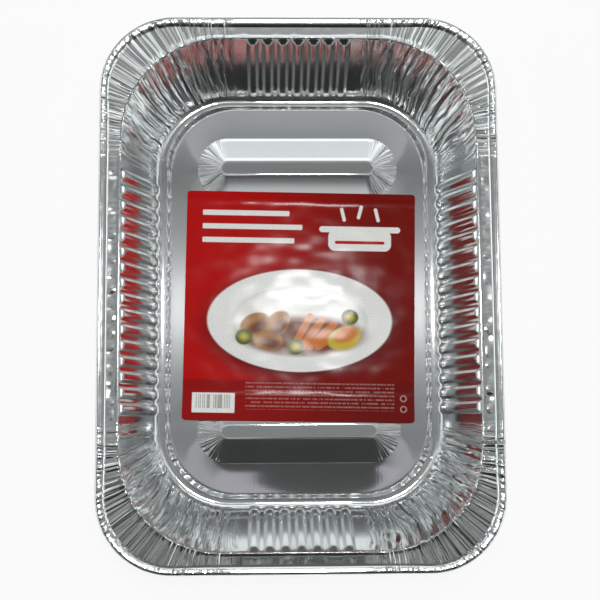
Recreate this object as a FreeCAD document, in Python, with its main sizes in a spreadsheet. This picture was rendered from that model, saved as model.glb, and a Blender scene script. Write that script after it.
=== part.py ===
import FreeCAD, Part
import math
import os
import Sketcher

# A disposable roasting pan, pressed from one sheet of aluminium foil, and the paper label that lies in it.
# The sheet runs from the ribbed floor over a gutter, up the fluted walls and gathered corners, across the
# flange and into the rolled rim.
# Frame: +Z is up, +Y is along the pan, and the origin is under the middle of the pan on the table.
# All sizes are in millimetres, angles in degrees.

SIZES = [
    ("rim_length", 400.0, "outside length over the rolled rim"),
    ("rim_width", 288.5, "outside width over the rolled rim"),
    ("rim_radius", 54.0, "outside corner radius of the rim"),
    ("pan_height", 63.0, "table to the top of the rolled rim"),
    ("foil_gauge", 0.2, "thickness of the foil"),
    ("roll_diameter", 3.8, "outside diameter of the rolled rim"),
    ("roll_crown", 0.8, "flat strip on top of the roll, inside its round"),
    ("roll_turn", 270.0, "how far the foil is rolled round at the rim"),
    ("roll_facets", 6, "number of facets round the roll"),
    ("corner_facets", 12, "number of facets in each corner of the roll"),
    ("flange_drop", 2.2, "top of the roll down to the flange"),
    ("flange_edge", 7.2, "outside of the rim to the flange's outer border"),
    ("flange_span", 16.3, "outside of the rim to the mouth"),
    ("mouth_radius", 73.0, "corner radius of the wall at the mouth"),
    ("mouth_round", 1.6, "height of the rounded lip from wall to flange"),
    ("side_run", 21.7, "how far a long wall leans out from foot to mouth"),
    ("end_run", 27.3, "how far an end wall leans out from foot to mouth"),
    ("foot_radius", 55.0, "corner radius of the wall's foot"),
    ("shoulder_drop", 4.2, "flange down to the top of the flutes"),
    ("shoulder_width", 0.7, "ledge on top of the flutes"),
    ("gutter_width", 5.9, "riser's foot to the wall's foot"),
    ("gutter_flat", 1.3, "flat bottom of the gutter, that the pan stands on"),
    ("gutter_lift", 0.5, "rise of the gutter towards the wall"),
    ("foot_height", 2.0, "height over which the flutes start at the foot"),
    ("riser_run", 3.8, "width of the slope from gutter to floor"),
    ("floor_lift", 3.0, "height of the floor over the gutter"),
    ("floor_radius", 51.0, "corner radius of the floor"),
    ("rib_spacing", 201.0, "distance between the two floor ribs"),
    ("rib_height", 3.5, "height of a rib's bar over the floor"),
    ("bar_length", 115.5, "length of a rib's flat bar"),
    ("bar_width", 10.0, "width of a rib's flat bar"),
    ("skirt_width", 18.8, "width of the slope round a bar"),
    ("flute_pitch", 11.2, "distance from flute to flute"),
    ("flute_margin", 11.5, "least plain wall between the flutes and a corner, at the foot"),
    ("flute_crest", 3.8, "flat on a flute's crest"),
    ("flute_flank", 2.3, "width of a flute's sloping flank"),
    ("flute_depth_top", 2.1, "depth of a flute at the shoulder"),
    ("flute_depth_foot", 1.4, "depth of a flute at the foot"),
    ("corner_pleats", 18, "number of gathered pleats in a corner"),
    ("pleat_depth_mouth", 1.3, "deepest pleat at the mouth"),
    ("pleat_depth_foot", 0.3, "deepest pleat at the foot"),
    ("pleat_height_flange", 0.5, "highest pleat on the flange"),
    ("label_margin", 9.3, "floor left bare beside the label, on each side"),
    ("label_length", 174.5, "label, along the pan"),
    ("label_thickness", 0.2, "thickness of the label"),
    ("label_corner", 2.5, "corner radius of the label"),
    ("label_shift_x", 1.2, "label's middle off the pan's middle, across"),
    ("label_shift_y", -5.9, "label's middle off the pan's middle, along"),
    ("label_turn", -1.2, "how far the label is turned out of square"),
    ("label_clearance", 0.4, "label's lifted ends over the ribs' slopes"),
]


def make_sheet(doc):
    """Writes the driving sizes into a spreadsheet, one row each: name, value, meaning."""
    sheet = doc.addObject("Spreadsheet::Sheet", "Sizes")
    for row, (alias, value, meaning) in enumerate(SIZES, start=1):
        sheet.set(f"A{row}", alias)
        sheet.set(f"B{row}", str(value))
        sheet.set(f"C{row}", meaning)
        sheet.setAlias(f"B{row}", alias)
    doc.recompute()
    return sheet


class Outline:
    """A rounded rectangle seen from above, centred on the pan."""

    def __init__(self, half_x, half_y, radius):
        self.half_x = half_x
        self.half_y = half_y
        self.radius = radius

    def grown(self, across, along=None, radius=None):
        """The outline moved outwards by across on X and along on Y."""
        along = across if along is None else along
        radius = self.radius + across if radius is None else radius
        return Outline(self.half_x + across, self.half_y + along, radius)

    def blended(self, other, share):
        """The outline that lies share of the way to another."""
        return Outline(
            self.half_x + (other.half_x - self.half_x) * share,
            self.half_y + (other.half_y - self.half_y) * share,
            self.radius + (other.radius - self.radius) * share,
        )

    def corner_centre(self, corner):
        """Centre of a corner's arc. Corner 0 is at +X +Y and the corners go round anticlockwise."""
        sign_x = 1 if corner in (0, 3) else -1
        sign_y = 1 if corner in (0, 1) else -1
        return sign_x * (self.half_x - self.radius), sign_y * (self.half_y - self.radius)

    def corner_point(self, corner, share):
        """Point and outward direction at a share of a corner's quarter turn."""
        turn = math.radians(90 * (corner + share))
        centre_x, centre_y = self.corner_centre(corner)
        out_x, out_y = math.cos(turn), math.sin(turn)
        return centre_x + self.radius * out_x, centre_y + self.radius * out_y, out_x, out_y

    def side_point(self, side, along):
        """Point and outward direction on a straight side. Side 0 is at +X, before corner 0."""
        turn = math.radians(90 * side)
        out_x, out_y = round(math.cos(turn)), round(math.sin(turn))
        reach = self.half_x if side % 2 == 0 else self.half_y
        return reach * out_x - along * out_y, reach * out_y + along * out_x, out_x, out_y

    def straight_half(self, side):
        """Half the length of the straight part of a side."""
        return (self.half_y if side % 2 == 0 else self.half_x) - self.radius

    def distance(self, x, y):
        """How far a point lies outside the outline, negative inside it."""
        over_x = abs(x) - (self.half_x - self.radius)
        over_y = abs(y) - (self.half_y - self.radius)
        outside = math.hypot(max(over_x, 0), max(over_y, 0))
        return outside + min(max(over_x, over_y), 0) - self.radius

    def reach_from(self, x, y, out_x, out_y):
        """How far a line from a point inside, in a given direction, runs to the outline."""
        near, far = 0.0, self.half_x + self.half_y
        for _ in range(60):
            middle = (near + far) / 2
            if self.distance(x + out_x * middle, y + out_y * middle) < 0:
                near = middle
            else:
                far = middle
        return (near + far) / 2

    def wire(self, z):
        """The outline at a height, as four lines and four arcs."""
        edges = []
        for corner in range(4):
            start = FreeCAD.Vector(*self.corner_point(corner, 0)[:2], z)
            middle = FreeCAD.Vector(*self.corner_point(corner, 0.5)[:2], z)
            end = FreeCAD.Vector(*self.corner_point(corner, 1)[:2], z)
            following = FreeCAD.Vector(*self.corner_point((corner + 1) % 4, 0)[:2], z)
            edges.append(Part.Arc(start, middle, end).toShape())
            edges.append(Part.makeLine(end, following))
        return Part.Wire(edges)


class Level:
    """One closed line of corner points round the sheet, with its folds, that bands of foil join to the next."""

    def __init__(self, outline, z, flute_depth=None, pleat_depth=0.0, pleat_height=0.0, mouth=None):
        self.outline = outline
        self.z = z
        self.flute_depth = flute_depth
        self.pleat_depth = pleat_depth
        self.pleat_height = pleat_height
        self.mouth = mouth


def uneven(index, corner, salt):
    """A fixed uneven number from 0 to 1 for each fold, so that no two pleats are alike."""
    value = math.sin(index * 12.9898 + corner * 78.233 + salt * 37.719) * 43758.5453
    return value - math.floor(value)


def pleat_folds(sizes, corner):
    """The folds of one corner: share of the quarter turn, and how far the fold stands in (-1) or out (1)."""
    count = 2 * int(round(sizes.corner_pleats))
    folds = [(0.0, 0.0)]
    for fold in range(1, count):
        shift = 0.55 * (uneven(fold, corner, 1) - 0.5)
        fade = min(1.0, 4.0 * min(fold, count - fold) / count)
        depth = (0.45 + 0.55 * uneven(fold, corner, 2)) * fade
        folds.append(((fold + shift) / count, depth if fold % 2 else -depth))
    folds.append((1.0, 0.0))
    return folds


def pan_outlines(sizes):
    """The outlines that every line of the pan is worked out from, from the rim in to the floor's edge."""
    rim = Outline(sizes.rim_width / 2, sizes.rim_length / 2, sizes.rim_radius)
    mouth = rim.grown(-sizes.flange_span, radius=sizes.mouth_radius)
    foot = mouth.grown(-sizes.side_run, -sizes.end_run, sizes.foot_radius)
    riser_foot = foot.grown(-sizes.gutter_width)
    floor = riser_foot.grown(-sizes.riser_run, radius=sizes.floor_radius)
    return rim, mouth, foot, riser_foot, floor


def flute_points(sizes, side):
    """The corner points of one side's flutes: place along the side, and share of the flute's depth."""
    foot = pan_outlines(sizes)[2]
    room = 2 * (foot.straight_half(side) - sizes.flute_margin)
    count = max(1, int(room / sizes.flute_pitch))
    half_crest = sizes.flute_crest / 2
    points = []
    for flute in range(count):
        middle = (flute - (count - 1) / 2) * sizes.flute_pitch
        points.append((middle - half_crest - sizes.flute_flank, 0))
        points.append((middle - half_crest, 1))
        points.append((middle + half_crest, 1))
        points.append((middle + half_crest + sizes.flute_flank, 0))
    return points


def side_line(sizes, level, side, move):
    """The points of a level along one side: the flutes' corners, or none where the foil is plain."""
    if level.flute_depth is None:
        return []
    line = []
    for along, share in flute_points(sizes, side):
        x, y, out_x, out_y = level.outline.side_point(side, along)
        off = move[0] - share * level.flute_depth
        line.append(FreeCAD.Vector(x + out_x * off, y + out_y * off, level.z + move[1]))
    return line


def corner_line(sizes, level, corner, move):
    """The points of a level round one corner, on the pleats' folds."""
    line = []
    for share, fold in pleat_folds(sizes, corner):
        if level.mouth is None:
            x, y, out_x, out_y = level.outline.corner_point(corner, share)
        else:
            x, y, out_x, out_y = level.mouth.corner_point(corner, share)
            reach = level.outline.reach_from(x, y, out_x, out_y)
            x, y = x + out_x * reach, y + out_y * reach
        off = move[0] + fold * level.pleat_depth / 2
        z = level.z + move[1] + fold * level.pleat_height / 2
        line.append(FreeCAD.Vector(x + out_x * off, y + out_y * off, z))
    return line


def facet(points):
    """A flat face through the points, or two triangles where four points aren't in one plane."""
    if len(points) == 4:
        first, second = points[1] - points[0], points[3] - points[0]
        normal = first.cross(second)
        off_plane = abs((points[2] - points[0]).dot(normal)) / max(normal.Length, 1e-9)
        if off_plane > 1e-7:
            return facet([points[0], points[1], points[2]]) + facet([points[0], points[2], points[3]])
    return [Part.Face(Part.makePolygon(points + [points[0]]))]


def band(sizes, lower, lower_move, upper, upper_move):
    """The faces of foil between two levels: flutes or a plain strip on each side, pleats round each corner."""
    faces = []
    for corner in range(4):
        low = corner_line(sizes, lower, corner, lower_move)
        high = corner_line(sizes, upper, corner, upper_move)
        for i in range(len(low) - 1):
            faces += facet([low[i], low[i + 1], high[i + 1], high[i]])
        before = (corner - 1) % 4
        low = (
            [corner_line(sizes, lower, before, lower_move)[-1]]
            + side_line(sizes, lower, corner, lower_move)
            + [low[0]]
        )
        high = (
            [corner_line(sizes, upper, before, upper_move)[-1]]
            + side_line(sizes, upper, corner, upper_move)
            + [high[0]]
        )
        if len(low) == len(high):
            for i in range(len(low) - 1):
                faces += facet([low[i], low[i + 1], high[i + 1], high[i]])
        else:
            faces += facet(low + high[::-1])
    return faces


def level_wire(sizes, level, move):
    """A level's own closed line of straight edges."""
    points = []
    for corner in range(4):
        points += side_line(sizes, level, corner, move)
        points += corner_line(sizes, level, corner, move)
    return closed(points)


def ring_face(outer, inner):
    """The flat face between two closed lines at one height."""
    return Part.makeFace([outer, inner], "Part::FaceMakerBullseye")


def underside_moves(levels, gauge):
    """For each level, how far out and up the foil's underside lies from its upper side.

    The two offset lines of a fold meet there, so the foil keeps its gauge round the fold. The first and the
    last level join level strips.
    """
    places = [(level.outline.half_x, level.z) for level in levels]
    places = [(places[0][0] - 1, places[0][1])] + places + [(places[-1][0] + 1, places[-1][1])]
    moves = []
    for before, here, after in zip(places, places[1:], places[2:]):
        normals = []
        for start, end in ((before, here), (here, after)):
            length = math.hypot(end[0] - start[0], end[1] - start[1])
            normals.append(((end[1] - start[1]) / length, -(end[0] - start[0]) / length))
        (ax, az), (bx, bz) = normals
        spread = 1 + ax * bx + az * bz
        moves.append((gauge * (ax + bx) / spread, gauge * (az + bz) / spread))
    return moves


def rib_wire(sizes, place_y, growth, z):
    """The outline of a rib's bar, or of its skirt where it is grown: two lines and two half circles."""
    half_straight = (sizes.bar_length - sizes.bar_width) / 2
    radius = sizes.bar_width / 2 + growth
    edges = []
    for sign in (1, -1):
        start = FreeCAD.Vector(sign * half_straight, place_y - sign * radius, z)
        middle = FreeCAD.Vector(sign * (half_straight + radius), place_y, z)
        end = FreeCAD.Vector(sign * half_straight, place_y + sign * radius, z)
        following = FreeCAD.Vector(-sign * half_straight, place_y + sign * radius, z)
        edges.append(Part.Arc(start, middle, end).toShape())
        edges.append(Part.makeLine(end, following))
    return Part.Wire(edges)


def floor_faces(sizes, floor, riser_foot, drop):
    """The floor with its two ribs and the slope down to the gutter, lowered by drop for the underside."""
    gutter_z = sizes.foil_gauge - drop
    floor_z = gutter_z + sizes.floor_lift
    edge = floor.wire(floor_z)
    holes = []
    faces = []
    for sign in (1, -1):
        place_y = sign * sizes.rib_spacing / 2
        hem = rib_wire(sizes, place_y, sizes.skirt_width, floor_z)
        crest = rib_wire(sizes, place_y, 0, floor_z + sizes.rib_height)
        holes.append(hem)
        faces += Part.makeLoft([hem, crest], False, True).Faces
        faces.append(Part.Face(crest))
    faces.append(Part.makeFace([edge] + holes, "Part::FaceMakerBullseye"))
    faces += Part.makeLoft([riser_foot.wire(gutter_z), edge], False, True).Faces
    return faces


def rim_line(sizes, outline, z):
    """A plain closed line round the rim, with a few straight edges in each corner."""
    count = int(round(sizes.corner_facets))
    return [
        FreeCAD.Vector(*outline.corner_point(corner, i / count)[:2], z)
        for corner in range(4)
        for i in range(count + 1)
    ]


def closed(points):
    """A closed line through the points."""
    return Part.makePolygon(points + [points[0]])


def strip(first, second):
    """The faces between two closed lines with as many points."""
    faces = []
    for i in range(len(first)):
        after = (i + 1) % len(first)
        faces += facet([first[i], first[after], second[after], second[i]])
    return faces


def roll_lines(sizes, rim, size):
    """The closed lines round the roll at a size of its section, from the top round to where the roll ends."""
    middle = sizes.roll_diameter / 2
    steps = int(round(sizes.roll_facets))
    lines = []
    for i in range(steps + 1):
        turn = math.radians(sizes.roll_turn * i / steps)
        outline = rim.grown(size * math.sin(turn) - middle)
        lines.append(rim_line(sizes, outline, sizes.pan_height - middle + size * math.cos(turn)))
    return lines


def roll_faces(sizes, rim):
    """The rolled rim: the outside and the inside of its turn of foil, and the foil's cut edge."""
    radius = sizes.roll_diameter / 2
    outside = roll_lines(sizes, rim, radius)
    inside = roll_lines(sizes, rim, radius - sizes.foil_gauge)
    faces = strip(outside[-1], inside[-1])
    for lines in (outside, inside):
        for i in range(len(lines) - 1):
            faces += strip(lines[i], lines[i + 1])
    return faces


def make_pan(doc, sheet):
    """The pan, one sheet of foil: its upper side, its underside and the cut edge, closed into one solid."""
    gauge = sheet.foil_gauge
    rim, mouth, foot, riser_foot, floor = pan_outlines(sheet)
    gutter_edge = foot.grown(sheet.gutter_flat - sheet.gutter_width)
    flange_z = sheet.pan_height - sheet.flange_drop

    foot_z = gauge + sheet.gutter_lift
    mouth_z = flange_z - sheet.mouth_round
    start_z = foot_z + sheet.foot_height
    shoulder_z = flange_z - sheet.shoulder_drop
    ledge_z = shoulder_z + sheet.shoulder_width / 2

    def wall(z):
        """The plain wall's outline at a height."""
        return foot.blended(mouth, (z - foot_z) / (mouth_z - foot_z))

    lip = mouth.grown(sheet.mouth_round * 0.8)
    flange_border = rim.grown(-sheet.flange_edge)
    crown = rim.grown(-sheet.roll_diameter / 2 - sheet.roll_crown)
    pleat = sheet.pleat_depth_mouth
    levels = [
        Level(gutter_edge, gauge),
        Level(foot, foot_z, flute_depth=0.0),
        Level(wall(start_z), start_z, sheet.flute_depth_foot, sheet.pleat_depth_foot),
        Level(wall(shoulder_z).grown(-sheet.shoulder_width, radius=wall(shoulder_z).radius), shoulder_z,
              sheet.flute_depth_top, pleat),
        Level(wall(ledge_z), ledge_z, 0.0, pleat),
        Level(mouth, mouth_z, None, pleat * 0.6),
        Level(lip, flange_z, None, pleat * 0.3, sheet.pleat_height_flange, mouth),
        Level(flange_border, flange_z, None, 0.0, sheet.pleat_height_flange, mouth),
        Level(crown, sheet.pan_height, None, 0.0, 0.0, mouth),
    ]
    unmoved = [(0.0, 0.0)] * len(levels)
    crown_edge = rim.grown(-sheet.roll_diameter / 2)
    faces = roll_faces(sheet, rim)
    for drop, moves in ((0.0, unmoved), (gauge, underside_moves(levels, gauge))):
        faces += floor_faces(sheet, floor, riser_foot, drop)
        faces.append(ring_face(level_wire(sheet, levels[0], moves[0]), riser_foot.wire(gauge - drop)))
        for i in range(len(levels) - 1):
            faces += band(sheet, levels[i], moves[i], levels[i + 1], moves[i + 1])
        crown_line = closed(rim_line(sheet, crown_edge, sheet.pan_height - drop))
        faces.append(ring_face(crown_line, level_wire(sheet, levels[-1], moves[-1])))

    shell = Part.makeCompound(faces)
    shell.sewShape(1e-5)
    solid = Part.Solid(shell.Shells[0]) if len(shell.Shells) == 1 else None
    if solid is None:
        raise RuntimeError(f"the foil's faces make {len(shell.Shells)} shells, and not one")
    if solid.Volume < 0:
        solid.reverse()
    pan = doc.addObject("Part::Feature", "FoilPan")
    pan.Label = "foil_pan"
    pan.Shape = solid
    pan.Placement = FreeCAD.Placement()
    return pan


def origin_plane(body, role):
    """One of a body's own origin planes, such as YZ_Plane."""
    return next(feature for feature in body.Origin.OriginFeatures if feature.Role == role)


def polygon_sketch(body, name, role, loops):
    """A sketch of closed loops of straight lines, whose corners are bound to expressions."""
    sketch = body.newObject("Sketcher::SketchObject", name)
    sketch.AttachmentSupport = [(origin_plane(body, role), "")]
    sketch.MapMode = "FlatFace"
    for corners in loops:
        first = sketch.GeometryCount
        count = len(corners)
        places = [
            FreeCAD.Vector(sketch.evalExpression(across), sketch.evalExpression(up), 0)
            for across, up in corners
        ]
        for i, place in enumerate(places):
            sketch.addGeometry(Part.LineSegment(place, places[(i + 1) % count]), False)
        for i in range(count):
            sketch.addConstraint(Sketcher.Constraint("Coincident", first + i, 2, first + (i + 1) % count, 1))
        for i, (across, up) in enumerate(corners):
            for kind, value, rule in (("DistanceX", places[i].x, across), ("DistanceY", places[i].y, up)):
                index = sketch.addConstraint(Sketcher.Constraint(kind, -1, 1, first + i, 1, value))
                sketch.setExpression(f"Constraints[{index}]", rule)
    return sketch


def make_label(doc):
    """The printed label: flat on the floor between the ribs, its two ends lifted over the ribs' slopes."""
    body = doc.addObject("PartDesign::Body", "Label")
    body.Label = "label"
    half_width = (
        "(Sizes.rim_width / 2 - Sizes.flange_span - Sizes.side_run - Sizes.gutter_width - Sizes.riser_run"
        " - Sizes.label_margin)"
    )
    half_length = "Sizes.label_length / 2"
    thickness = "Sizes.label_thickness"
    slope = "(Sizes.rib_height / Sizes.skirt_width)"
    clear = (
        "(Sizes.label_clearance / Sizes.rib_height * Sizes.skirt_width"
        " + Sizes.bar_length / 2 * abs(sin(Sizes.label_turn * 1deg)))"
    )
    skirt_edge = "(Sizes.rib_spacing / 2 - Sizes.bar_width / 2 - Sizes.skirt_width)"
    far_bend = f"({skirt_edge} - Sizes.label_shift_y - {clear})"
    near_bend = f"(-{skirt_edge} - Sizes.label_shift_y + {clear})"
    reach = f"(max({half_length}; {far_bend}; -{near_bend}) + Sizes.label_corner)"
    far_lift = f"(({reach} - {far_bend}) * {slope})"
    near_lift = f"(({near_bend} + {reach}) * {slope})"
    blank_height = f"(max({far_lift}; {near_lift}) + 2 * {thickness})"
    over_blank = f"{blank_height} + {thickness}"

    outline = [
        (f"-{half_width}", f"-{half_length}"),
        (half_width, f"-{half_length}"),
        (half_width, half_length),
        (f"-{half_width}", half_length),
    ]
    blank = body.newObject("PartDesign::Pad", "LabelBlank")
    blank.Profile = polygon_sketch(body, "LabelOutline", "XY_Plane", [outline])
    blank.setExpression("Length", blank_height)
    doc.recompute()
    upright = [
        f"Edge{number}"
        for number, edge in enumerate(blank.Shape.Edges, start=1)
        if abs(edge.BoundBox.ZLength - blank.Shape.BoundBox.ZLength) < 1e-6
    ]
    corners = body.newObject("PartDesign::Fillet", "LabelCorners")
    corners.Base = (blank, upright)
    corners.setExpression("Radius", "Sizes.label_corner")
    doc.recompute()

    above_sheet = [
        (f"-{reach}", f"{near_lift} + {thickness}"),
        (near_bend, thickness),
        (far_bend, thickness),
        (reach, f"{far_lift} + {thickness}"),
        (reach, over_blank),
        (f"-{reach}", over_blank),
    ]
    under_far_end = [(far_bend, "0"), (reach, f"-{thickness}"), (reach, far_lift)]
    under_near_end = [(near_bend, "0"), (f"-{reach}", near_lift), (f"-{reach}", f"-{thickness}")]
    cut = body.newObject("PartDesign::Pocket", "LabelSheet")
    cut.Profile = polygon_sketch(
        body, "LabelSection", "YZ_Plane", [above_sheet, under_far_end, under_near_end]
    )
    cut.Type = "ThroughAll"
    cut.SideType = "Symmetric"
    body.Tip = cut

    body.Placement.Rotation = FreeCAD.Rotation(FreeCAD.Vector(0, 0, 1), 1)
    body.setExpression("Placement.Rotation.Angle", "Sizes.label_turn")
    body.setExpression("Placement.Base.x", "Sizes.label_shift_x")
    body.setExpression("Placement.Base.y", "Sizes.label_shift_y")
    body.setExpression("Placement.Base.z", "Sizes.foil_gauge + Sizes.floor_lift")
    doc.recompute()
    return body


def export(doc, parts):
    """Checks every object and each sub-part's solid, then writes one STEP file for each sub-part."""
    doc.recompute()
    for thing in doc.Objects:
        if "Invalid" in thing.State or "Error" in thing.State:
            raise RuntimeError(f"{thing.Name} failed: {thing.State}")
    for part in parts:
        shape = part.Shape
        if shape.isNull() or not shape.isValid() or shape.Volume <= 0:
            raise RuntimeError(f"{part.Label} has no valid solid")
        print(part.Label, "solids", len(shape.Solids), "faces", len(shape.Faces), "volume", round(shape.Volume, 1))
    os.makedirs("parts", exist_ok=True)
    for part in parts:
        part.Shape.exportStep(os.path.join("parts", part.Label + ".step"))


def main():
    """Builds the document and writes its parts."""
    doc = FreeCAD.newDocument("FoilRoastingPan")
    sheet = make_sheet(doc)
    parts = [make_pan(doc, sheet), make_label(doc)]
    export(doc, parts)


main()
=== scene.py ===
"""Looks of a disposable roasting pan of pressed aluminium foil, with a printed paper label lying in it."""

import logging
import math
from dataclasses import dataclass, field
from enum import Enum

import bpy
import numpy as np
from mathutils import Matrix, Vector
from mathutils.geometry import delaunay_2d_cdt


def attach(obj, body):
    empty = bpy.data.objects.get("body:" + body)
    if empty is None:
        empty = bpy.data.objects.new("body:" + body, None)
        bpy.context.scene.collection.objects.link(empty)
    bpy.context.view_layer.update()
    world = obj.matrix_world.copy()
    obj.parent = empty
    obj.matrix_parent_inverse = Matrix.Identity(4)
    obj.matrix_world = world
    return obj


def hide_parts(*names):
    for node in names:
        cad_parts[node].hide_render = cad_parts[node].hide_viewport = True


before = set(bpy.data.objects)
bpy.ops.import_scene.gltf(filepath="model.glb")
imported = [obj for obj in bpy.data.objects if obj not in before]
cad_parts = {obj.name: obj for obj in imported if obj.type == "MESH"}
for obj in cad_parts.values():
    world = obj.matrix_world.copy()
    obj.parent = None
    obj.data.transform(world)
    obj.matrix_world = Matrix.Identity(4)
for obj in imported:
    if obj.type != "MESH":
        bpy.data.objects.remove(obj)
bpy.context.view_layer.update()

MM = 0.001
BODY = "root"
AROUND = "around"
UP = "up"
GATHERED = "gathered"
POLISH = "polish"
SHEET_MAP = "sheet"
LOG = logging.getLogger("foil_pan")

Array = np.ndarray
Colour = tuple[float, float, float, float]
Point = tuple[float, float]
Face = tuple[int, ...]
Input = bpy.types.NodeSocket | float | tuple


def smooth(value: Array | float, low: float, high: float) -> Array | float:
    """Eases from 0 to 1 between two limits.

    Args:
        value: The number or numbers to ease.
        low: Where the result leaves 0.
        high: Where the result reaches 1.

    Returns:
        The eased share, of the same form as the value.
    """
    share = np.clip((value - low) / (high - low), 0.0, 1.0)
    return share * share * (3.0 - 2.0 * share)


def wander(places: Array, spacing: float, seed: int) -> Array:
    """A smooth uneven line, with a fresh value every so often.

    Args:
        places: Where it is read, in the same unit as the spacing.
        spacing: Distance from one fresh value to the next.
        seed: Which of the uneven lines to give.

    Returns:
        Values between -1 and 1.
    """
    steps = places / spacing
    first = np.floor(steps).astype(int)
    low, count = int(first.min()), int(first.max() - first.min()) + 3
    values = np.random.default_rng(seed).uniform(-1.0, 1.0, count)
    share = steps - first
    share = share * share * (3.0 - 2.0 * share)
    return values[first - low] * (1.0 - share) + values[first - low + 1] * share


@dataclass(frozen=True)
class Outline:
    """A rounded rectangle seen from above, centred on the pan, in millimetres."""

    half_x: float
    half_y: float
    radius: float

    def grown(self, across: float, along: float | None = None, radius: float | None = None) -> "Outline":
        """The outline moved outwards.

        Args:
            across: How far, along X.
            along: How far, along Y, if it isn't the same.
            radius: The corners' new radius, if they don't keep their centres.

        Returns:
            The new outline.
        """
        along = across if along is None else along
        radius = self.radius + across if radius is None else radius
        return Outline(self.half_x + across, self.half_y + along, radius)

    def blended(self, other: "Outline", share: float) -> "Outline":
        """The outline that lies a share of the way to another."""
        return Outline(
            self.half_x + (other.half_x - self.half_x) * share,
            self.half_y + (other.half_y - self.half_y) * share,
            self.radius + (other.radius - self.radius) * share,
        )

    def distance(self, x: Array, y: Array) -> Array:
        """Measures points against the outline.

        Args:
            x: Their places across the pan.
            y: Their places along the pan.

        Returns:
            How far they lie outside the outline, negative inside it.
        """
        over_x = np.abs(x) - (self.half_x - self.radius)
        over_y = np.abs(y) - (self.half_y - self.radius)
        outside = np.hypot(np.maximum(over_x, 0), np.maximum(over_y, 0))
        return outside + np.minimum(np.maximum(over_x, over_y), 0) - self.radius


@dataclass(frozen=True)
class PanSizes:
    """Sizes of the pan in millimetres, as its solid has them."""

    rim: Outline = Outline(144.25, 200.0, 54.0)
    height: float = 63.0
    gauge: float = 0.2
    roll_radius: float = 1.9
    flange_z: float = 60.8
    flange_span: float = 16.3
    mouth_radius: float = 73.0
    side_run: float = 21.7
    end_run: float = 27.3
    foot_radius: float = 55.0
    gutter_width: float = 5.9
    riser_run: float = 3.8
    floor_lift: float = 3.0
    floor_radius: float = 51.0
    rib_spacing: float = 201.0
    rib_height: float = 3.5
    bar_length: float = 115.5
    bar_width: float = 10.0
    skirt_width: float = 18.8
    side_flutes: int = 16
    end_flutes: int = 7
    flute_pitch: float = 11.2
    crest_half: float = 1.9
    flank: float = 2.3
    flute_depth_foot: float = 1.4
    flute_depth_top: float = 2.1

    @property
    def mouth(self) -> Outline:
        """The line where the wall meets the flange."""
        return self.rim.grown(-self.flange_span, radius=self.mouth_radius)

    @property
    def foot(self) -> Outline:
        """The line where the wall meets the gutter."""
        return self.mouth.grown(-self.side_run, -self.end_run, self.foot_radius)

    @property
    def riser_foot(self) -> Outline:
        """The line where the floor's slope meets the gutter."""
        return self.foot.grown(-self.gutter_width)

    @property
    def floor(self) -> Outline:
        """The edge of the raised floor."""
        return self.riser_foot.grown(-self.riser_run, radius=self.floor_radius)

    @property
    def bar_half(self) -> float:
        """Half the length of the straight part of a rib's bar."""
        return (self.bar_length - self.bar_width) / 2

    @property
    def rib_reach(self) -> float:
        """How far a rib's slope reaches from the rib's middle line."""
        return self.bar_width / 2 + self.skirt_width

    @property
    def panel(self) -> Outline:
        """The part of the raised floor that is quite flat."""
        return self.floor.grown(-1.0)


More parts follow.
